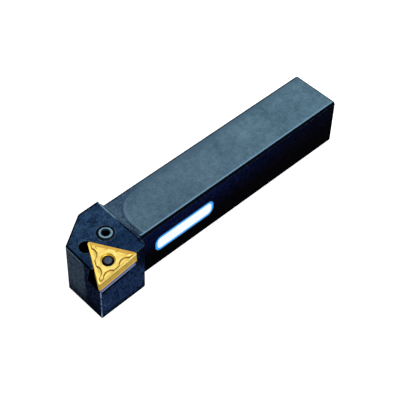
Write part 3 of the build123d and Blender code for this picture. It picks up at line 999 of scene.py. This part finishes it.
# ---------------------------------------------------------------------------------------------
# Clamp screw: a headless fine-threaded screw, turned, rolled and blued, with a hexagon socket in
# each end and a neck that holds the lever's toe. It turns in the head's thread and pulls the
# lever down to clamp the insert.
# ---------------------------------------------------------------------------------------------
SCREW_RADIUS = 0.00395
THREAD_PITCH = 0.001
THREAD_DEPTH = 0.00052
THREAD_CREST = 0.12
THREAD_FLANKS = 0.76
THREAD_RUN_OUT = 0.0009
THREAD_ROWS = 240
ROUND_STEPS = 144
SHARP_ANGLE = radians(35)
HEX_RADIUS = 0.0015
MOUTH_RADIUS = 0.00205
END_RADIUS = 0.00295
END_CHAMFER = 0.00085
TOP_SOCKET_DEPTH = 0.0045
FOOT_SOCKET_DEPTH = 0.0028
SOCKET_POINT = 0.0004
SOCKET_FOOT_SHARE = 0.98
MOUTH_DEPTH = 0.00045
MOUTH_START_SHARE = 1.1
MOUTH_CONE_SHARE = 0.8
MOUTH_CONE_WIDENING = 1.04
FOOT_MOUTH_WIDENING = 1.2
NECK_RADIUS = 0.0025
NECK_BOTTOM = 0.0091
NECK_TOP = 0.01255
COLLAR_RADIUS = 0.0037
FOOT_CHAMFER = 0.0005
EDGE_ROUND = 0.00008
screw_low, screw_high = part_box("clamp_screw")
screw_axis_x = (screw_low[0] + screw_high[0]) / 2
screw_axis_y = (screw_low[1] + screw_high[1]) / 2


def closed_sweep(name, radius, height, material):
    """A mesh from a grid of radii and heights: rows run round the axis and columns along it.

    A point lies at its radius times the cosine and the sine of its angle from the screw's axis.
    The first and last rows shrink to one point each, so the surface is closed.
    """
    rows, around = radius.shape
    angle = np.linspace(0.0, 2 * pi, around, endpoint=False)
    across = screw_axis_x + radius * np.cos(angle), screw_axis_y + radius * np.sin(angle)
    grid = np.stack([*across, height], axis=-1)
    inner = grid[1:-1].reshape(-1, 3)
    points = np.vstack([inner, grid[0].mean(axis=0), grid[-1].mean(axis=0)])
    row = np.arange(rows - 3)[:, None] * around
    here = np.arange(around)
    after = (here + 1) % around
    quads = np.stack(
        [row + here, row + here + around, row + after + around, row + after], axis=-1
    ).reshape(-1, 4)
    base = (rows - 3) * around
    first_cap = np.column_stack([np.full(around, len(inner)), here, after])
    last_cap = np.column_stack([np.full(around, len(inner) + 1), base + after, base + here])
    mesh = bpy.data.meshes.new(name)
    faces = quads.tolist() + first_cap.tolist() + last_cap.tolist()
    mesh.from_pydata(points.tolist(), [], faces)
    shape = bmesh.new()
    shape.from_mesh(mesh)
    bmesh.ops.recalc_face_normals(shape, faces=shape.faces)
    shape.to_mesh(mesh)
    shape.free()
    mesh.polygons.foreach_set("use_smooth", [True] * len(mesh.polygons))
    mesh.set_sharp_from_angle(angle=SHARP_ANGLE)
    mesh.materials.append(material)
    piece = bpy.data.objects.new(name, mesh)
    bpy.context.scene.collection.objects.link(piece)
    return piece


def hexagon_radius(angle, inradius):
    """Distance to a hexagon's flats from its middle: inradius over the cosine to the nearest."""
    turned = np.mod(angle + pi / 6, pi / 3) - pi / 6
    return inradius / np.cos(turned)


def thread_rows(angle, top):
    """Radius and height of the rows of thread between the chamfered end and the neck.

    The radius falls by the thread's depth times a triangle wave of height over pitch less angle
    over a full turn, cut flat at crest and root. The wave fades out towards the neck, and the
    cone of the end's chamfer limits the radius above it.
    """
    level = np.linspace(top - EDGE_ROUND, NECK_TOP + EDGE_ROUND, THREAD_ROWS)[:, None]
    turn = np.mod(level / THREAD_PITCH - angle / (2 * pi), 1.0)
    groove = 1.0 - np.abs(2.0 * turn - 1.0)
    groove = np.clip((groove - THREAD_CREST) / THREAD_FLANKS, 0.0, 1.0)
    fade = np.clip((level - NECK_TOP) / THREAD_RUN_OUT, 0.0, 1.0)
    threaded = SCREW_RADIUS - THREAD_DEPTH * groove * fade
    slope = (top - level) / END_CHAMFER
    chamfered = END_RADIUS + (SCREW_RADIUS - END_RADIUS) * slope
    limit = np.where(level > top - END_CHAMFER, chamfered, SCREW_RADIUS)
    return zip(np.minimum(threaded, limit), level)


def screw_surface():
    """Radius and height of each row, from the top socket's floor down to the lower one's."""
    angle = np.linspace(0.0, 2 * pi, ROUND_STEPS, endpoint=False)
    top, foot = screw_high[2], screw_low[2]
    hexagon = hexagon_radius(angle, HEX_RADIUS)
    mouth_cone = np.maximum(hexagon, HEX_RADIUS * MOUTH_CONE_WIDENING)
    ring = np.ones(ROUND_STEPS)
    rows = [
        # upper socket, its mouth and the end face
        (0.0 * ring, top - TOP_SOCKET_DEPTH - SOCKET_POINT),
        (hexagon * SOCKET_FOOT_SHARE, top - TOP_SOCKET_DEPTH),
        (hexagon, top - TOP_SOCKET_DEPTH + EDGE_ROUND),
        (hexagon, top - MOUTH_DEPTH * MOUTH_START_SHARE),
        (mouth_cone, top - MOUTH_DEPTH * MOUTH_CONE_SHARE),
        (ring * MOUTH_RADIUS, top - EDGE_ROUND / 2),
        (ring * (MOUTH_RADIUS + EDGE_ROUND), top),
        (ring * (END_RADIUS - EDGE_ROUND), top),
        (ring * (END_RADIUS + EDGE_ROUND / 2), top - EDGE_ROUND / 2),
        *thread_rows(angle, top),
        # neck
        (ring * (SCREW_RADIUS - EDGE_ROUND), NECK_TOP),
        (ring * (NECK_RADIUS + EDGE_ROUND), NECK_TOP),
        (ring * NECK_RADIUS, NECK_TOP - EDGE_ROUND),
        (ring * NECK_RADIUS, NECK_BOTTOM + EDGE_ROUND),
        (ring * (NECK_RADIUS + EDGE_ROUND), NECK_BOTTOM),
        # collar and lower socket
        (ring * (COLLAR_RADIUS - EDGE_ROUND), NECK_BOTTOM),
        (ring * COLLAR_RADIUS, NECK_BOTTOM - EDGE_ROUND),
        (ring * COLLAR_RADIUS, foot + FOOT_CHAMFER),
        (ring * (COLLAR_RADIUS - FOOT_CHAMFER), foot),
        (ring * HEX_RADIUS * FOOT_MOUTH_WIDENING, foot),
        (hexagon, foot + EDGE_ROUND * 2),
        (hexagon, foot + FOOT_SOCKET_DEPTH - EDGE_ROUND),
        (hexagon * SOCKET_FOOT_SHARE, foot + FOOT_SOCKET_DEPTH),
        (0.0 * ring, foot + FOOT_SOCKET_DEPTH),
    ]
    radius = np.array([row[0] for row in rows])
    height = np.array([np.broadcast_to(row[1], ROUND_STEPS) for row in rows])
    return radius, height


END_FACING = (0.85, 0.97)
END_RING_DEPTH = (-0.0002, -0.0001)
SCREW_CREVICE = 0.003
SCREW_BLACK = rgb(8, 11, 16), rgb(22, 28, 36)
SCREW_END_BLUE = rgb(62, 94, 112), rgb(106, 140, 156)
SOCKET_SHADE = rgb(1, 1, 2)


def build_screw_steel():
    """Blued screw steel: dark thread, painted shade on the end's chamfer and in the sockets, and a
    cool steel blue end face.
    """
    material, tree, shader, coords = new_finish("blued_screw_steel")
    skin = use_effect(tree, burnished_skin, Coords=coords, Cloud_Scale=600.0, Grain_Scale=5000.0)
    cloud = out(skin, "Cloud")
    _, _, z = axes_of(coords)
    end_face = along_normal(tree, (0, 0, 1)).ramp(*END_FACING)
    brighter_part = end_face * (z - screw_high[2]).ramp(*END_RING_DEPTH)
    # The end's chamfer keeps the dark thread colour as painted shade.
    colour = blend(brighter_part, blend(cloud, *SCREW_BLACK), blend(cloud, *SCREW_END_BLUE))
    # Painted shade in the sockets.
    shut_in = use_effect(tree, crevice_shade, Reach=SCREW_CREVICE)
    colour = blend(out(shut_in, "Mask"), colour, SOCKET_SHADE)
    height = out(skin, "Height")
    finish_shader(shader, colour, cloud * 0.12 + 0.34, height, strength=0.25, distance=0.00002)
    shader.inputs["Metallic"].default_value = 0.3
    shader.inputs["Specular IOR Level"].default_value = 0.05
    return material


clamp_screw = closed_sweep("clamp_screw_threaded", *screw_surface(), build_screw_steel())
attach(clamp_screw, "clamp_screw")
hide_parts("clamp_screw")

# ---------------------------------------------------------------------------------------------
# Label: a rounded plate of white film, stuck to the cutting side of the shank. A blue line is
# printed round it, inside a thin dark rim.
# ---------------------------------------------------------------------------------------------
LABEL_EDGE_BREAK = 0.00005
LABEL_ROUND = 0.0036
BORDER_WIDTH = 0.00140
DARK_RIM_WIDTH = 0.00035
PRINT_SOFTNESS = 0.00005
FILM_WHITE = rgb(246, 249, 252), rgb(253, 254, 255)
LINE_BLUE = rgb(10, 166, 255)
DARK_RIM_BLUE = rgb(0, 26, 74)
label_low, label_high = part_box("side_label")
label_middle = (Vector(label_low) + Vector(label_high)) / 2
label_half_length = (label_high[0] - label_low[0]) / 2
label_half_height = (label_high[2] - label_low[2]) / 2


def outside_of(reach, width):
    """0 further in from the label's outline than width, and 1 nearer to it."""
    return reach.ramp(
        LABEL_ROUND - width - PRINT_SOFTNESS, LABEL_ROUND - width + PRINT_SOFTNESS
    )


def build_label_film():
    """White film with a blue line and a dark rim, which follow the rounded outline.

    A place's reach is its distance from the middle rectangle, which is the label less its corner
    radius on every side: the root of the squares of how far it is past that in X and in Z.
    """
    material, tree, shader, coords = new_finish("label_film")
    x, _, z = axes_of(coords)
    past_x = abs(x - label_middle[0]) - (label_half_length - LABEL_ROUND)
    past_z = abs(z - label_middle[2]) - (label_half_height - LABEL_ROUND)
    reach = length_of(past_x.at_least(0.0), past_z.at_least(0.0))
    skin = use_effect(tree, burnished_skin, Coords=coords, Cloud_Scale=90.0, Grain_Scale=3000.0)
    cloud = out(skin, "Cloud")
    border = blend(outside_of(reach, DARK_RIM_WIDTH), LINE_BLUE, DARK_RIM_BLUE)
    film = blend(outside_of(reach, BORDER_WIDTH), blend(cloud, *FILM_WHITE), border)
    height = out(skin, "Height")
    finish_shader(shader, film, cloud * 0.08 + 0.38, height, strength=0.08, distance=0.00001)
    shader.inputs["Specular IOR Level"].default_value = 0.15
    return material


side_label = finished_copy("side_label", "side_label_film", LABEL_EDGE_BREAK, build_label_film())

# ---------------------------------------------------------------------------------------------
# Floor, lamps and camera: a white table under a broad soft lamp, with a second one that fills
# the cutting side. The camera looks down on the head from that side.
# ---------------------------------------------------------------------------------------------
FLOOR_SIZE = 3.0
TABLE_GRAIN_SCALE = 400.0
TABLE_WHITE = (0.86, 0.86, 0.86, 1.0), (0.9, 0.9, 0.9, 1.0)
WHITE = (1.0, 1.0, 1.0, 1.0)
SEEN_GLOW = 0.75
WORLD_LIGHT = 0.25


def seen_directly(tree):
    """1 where a surface is seen straight, mirrored or through glass, 0 where it gives light."""
    rays = place(tree, "ShaderNodeLightPath")
    seen = out(rays, "Is Camera Ray").at_least(out(rays, "Is Glossy Ray"))
    return seen.at_least(out(rays, "Is Transmission Ray"))


def build_white_table():
    """Matt white, with its own glow for the camera so that the table reads white."""
    material, tree, shader, coords = new_finish("white_table")
    grain = place(
        tree, "ShaderNodeTexNoise", Vector=coords, Scale=TABLE_GRAIN_SCALE, Detail=3.0
    )
    plug(shader.inputs["Base Color"], blend(out(grain), *TABLE_WHITE))
    shader.inputs["Roughness"].default_value = 0.9
    shader.inputs["Specular IOR Level"].default_value = 0.0
    shader.inputs["Emission Color"].default_value = WHITE
    plug(shader.inputs["Emission Strength"], seen_directly(tree) * SEEN_GLOW)
    return material


floor_mesh = bpy.data.meshes.new("white_table")
half = FLOOR_SIZE / 2
floor_mesh.from_pydata(
    [(-half, -half, 0), (half, -half, 0), (half, half, 0), (-half, half, 0)], [], [(0, 1, 2, 3)]
)
floor_mesh.materials.append(build_white_table())
white_table = bpy.data.objects.new("white_table", floor_mesh)
bpy.context.scene.collection.objects.link(white_table)

LAMP_SIZE = 1.2
KEY_PLACE = (-1.1, -0.9, 1.45)
KEY_WATTS = 28.0
KEY_COLOUR = (1.0, 0.99, 0.97)
FILL_PLACE = (0.3, 1.7, 0.75)
FILL_WATTS = 24.0
FILL_COLOUR = (0.95, 0.98, 1.0)


def add_soft_lamp(name, lamp_place, target, watts, colour):
    """A square area lamp that faces the target."""
    lamp = bpy.data.lights.new(name, "AREA")
    lamp.shape = "SQUARE"
    lamp.size = LAMP_SIZE
    lamp.energy = watts
    lamp.color = colour
    hung_lamp = bpy.data.objects.new(name, lamp)
    hung_lamp.location = lamp_place
    facing = target - Vector(lamp_place)
    hung_lamp.rotation_euler = facing.to_track_quat("-Z", "Y").to_euler()
    bpy.context.scene.collection.objects.link(hung_lamp)


middle = (Vector(cad_box[0]) + Vector(cad_box[1])) / 2
add_soft_lamp("key_softbox", KEY_PLACE, middle, KEY_WATTS, KEY_COLOUR)
add_soft_lamp("cutting_side_fill", FILL_PLACE, middle, FILL_WATTS, FILL_COLOUR)

world = bpy.data.worlds.new("studio")
bpy.context.scene.world = world
world.use_nodes = True
world.node_tree.nodes.clear()
world_strength = seen_directly(world.node_tree) * SEEN_GLOW + WORLD_LIGHT
background = place(
    world.node_tree, "ShaderNodeBackground", Color=WHITE, Strength=world_strength
)
place(world.node_tree, "ShaderNodeOutputWorld", Surface=out(background))

CAMERA_PLACE = (0.33362, 0.26831, 0.41214)
CAMERA_LOOK = (-0.47286, -0.46722, -0.74706)
CAMERA_UP = (-0.50572, -0.55039, 0.66432)
CAMERA_NEAR = 0.01
FRAME_WIDTH = 400
FOCAL_PIXELS = 1212.9
SENSOR_WIDTH = 36.0

camera = bpy.data.cameras.new("camera")
camera.sensor_width = SENSOR_WIDTH
camera.sensor_height = SENSOR_WIDTH
camera.lens = SENSOR_WIDTH * FOCAL_PIXELS / FRAME_WIDTH
camera.clip_start = CAMERA_NEAR
placed_camera = bpy.data.objects.new("camera", camera)
back = -Vector(CAMERA_LOOK).normalized()
right = Vector(CAMERA_UP).cross(back).normalized()
up = back.cross(right)
placed_camera.matrix_world = Matrix(
    [
        [right.x, up.x, back.x, CAMERA_PLACE[0]],
        [right.y, up.y, back.y, CAMERA_PLACE[1]],
        [right.z, up.z, back.z, CAMERA_PLACE[2]],
        [0, 0, 0, 1],
    ]
)
bpy.context.scene.collection.objects.link(placed_camera)
bpy.context.scene.camera = placed_camera
bpy.context.scene.view_settings.view_transform = "Standard"
